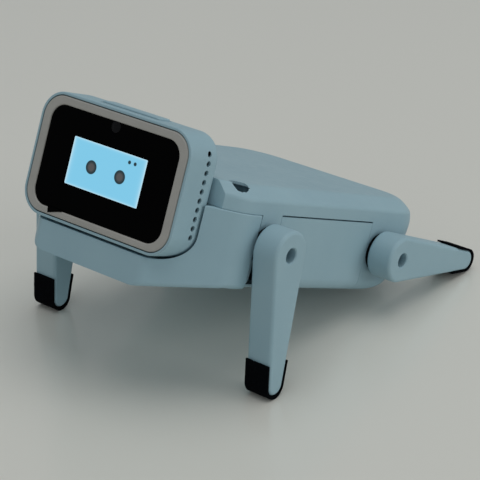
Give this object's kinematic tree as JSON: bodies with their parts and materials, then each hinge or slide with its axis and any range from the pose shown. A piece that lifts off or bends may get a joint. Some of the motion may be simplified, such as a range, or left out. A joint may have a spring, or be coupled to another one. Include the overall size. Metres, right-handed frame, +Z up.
{
  "type": "quadruped robot dog",
  "caption": "Desk-sized quadruped robot dog with a flat rounded body, a box head with a lit face screen, and tapered servo legs with foam-wrapped feet.",
  "frame": {"origin": "on the surface that the feet stand on, below the middle of the robot's box", "axes": "+X the way the robot faces, +Y to the robot's left, +Z up"},
  "size_m": [0.1028, 0.0736, 0.0636],
  "materials": {
    "shell": "matt printed plastic, pale blue",
    "bezel": "satin warm grey plastic",
    "glass": "black-backed cover glass",
    "display": "lit colour display",
    "black_plastic": "moulded black plastic",
    "foam_rubber": "closed-cell foam rubber",
    "nylon": "dark glass-filled nylon",
    "steel": "plated steel",
    "circuit_board": "solder-masked board",
    "foil_wrap": "foil pouch and film"
  },
  "bodies": {
    "body": {"top_shell": "shell", "bottom_cover": "shell", "front_cover": "shell", "head_housing": "shell", "head_bezel": "bezel", "screen_glass": "glass", "display_panel": "display", "camera_module": "black_plastic", "button_switch": "black_plastic", "main_board": "circuit_board", "speaker": "black_plastic", "battery": "foil_wrap", "power_board": "circuit_board", "usb_port": "steel", "power_switch": "steel", "ribbon_cable": "foil_wrap", "head_screw_left": "steel", "head_screw_right": "steel", "shoulder_screw_left": "steel", "shoulder_screw_right": "steel", "servo_front_left": "black_plastic", "belly_screw_front_left": "steel", "servo_screw_front_a_left": "steel", "servo_screw_front_b_left": "steel", "servo_front_right": "black_plastic", "belly_screw_front_right": "steel", "servo_screw_front_a_right": "steel", "servo_screw_front_b_right": "steel", "servo_rear_left": "black_plastic", "belly_screw_rear_left": "steel", "servo_screw_rear_a_left": "steel", "servo_screw_rear_b_left": "steel", "servo_rear_right": "black_plastic", "belly_screw_rear_right": "steel", "servo_screw_rear_a_right": "steel", "servo_screw_rear_b_right": "steel"},
    "leg_front_left": {"leg_front_left": "shell", "foot_pad_front_left": "foam_rubber", "servo_shaft_front_left": "nylon", "servo_horn_front_left": "nylon", "leg_screw_front_left": "steel"},
    "leg_front_right": {"leg_front_right": "shell", "foot_pad_front_right": "foam_rubber", "servo_shaft_front_right": "nylon", "servo_horn_front_right": "nylon", "leg_screw_front_right": "steel"},
    "leg_rear_left": {"leg_rear_left": "shell", "foot_pad_rear_left": "foam_rubber", "servo_shaft_rear_left": "nylon", "servo_horn_rear_left": "nylon", "leg_screw_rear_left": "steel"},
    "leg_rear_right": {"leg_rear_right": "shell", "foot_pad_rear_right": "foam_rubber", "servo_shaft_rear_right": "nylon", "servo_horn_rear_right": "nylon", "leg_screw_rear_right": "steel"},
    "button": {"head_button": "shell"},
    "slider": {"switch_slider": "black_plastic"}
  },
  "joints": [
    {"name": "hip_front_left", "type": "hinge", "parent": "body", "child": "leg_front_left", "pos_m": [0.02381, 0, 0.03383], "axis": [0, -1, 0], "range_deg": [-22, 103]},
    {"name": "hip_front_right", "type": "hinge", "parent": "body", "child": "leg_front_right", "pos_m": [0.02381, 0, 0.03383], "axis": [0, -1, 0], "range_deg": [-22, 103]},
    {"name": "hip_rear_left", "type": "hinge", "parent": "body", "child": "leg_rear_left", "pos_m": [-0.01929, 0, 0.01509], "axis": [0, -1, 0], "range_deg": [-4, 126]},
    {"name": "hip_rear_right", "type": "hinge", "parent": "body", "child": "leg_rear_right", "pos_m": [-0.01929, 0, 0.01509], "axis": [0, -1, 0], "range_deg": [-4, 126]},
    {"name": "head_button_press", "type": "slide", "parent": "body", "child": "button", "axis": [0.3987, 0, -0.9171], "range_m": [0, 0.0004], "stiffness_N_per_m": 400, "springref_m": -0.0003},
    {"name": "power_switch_slide", "type": "slide", "parent": "body", "child": "slider", "axis": [0, 1, 0], "range_m": [0, 0.002]}
  ]
}
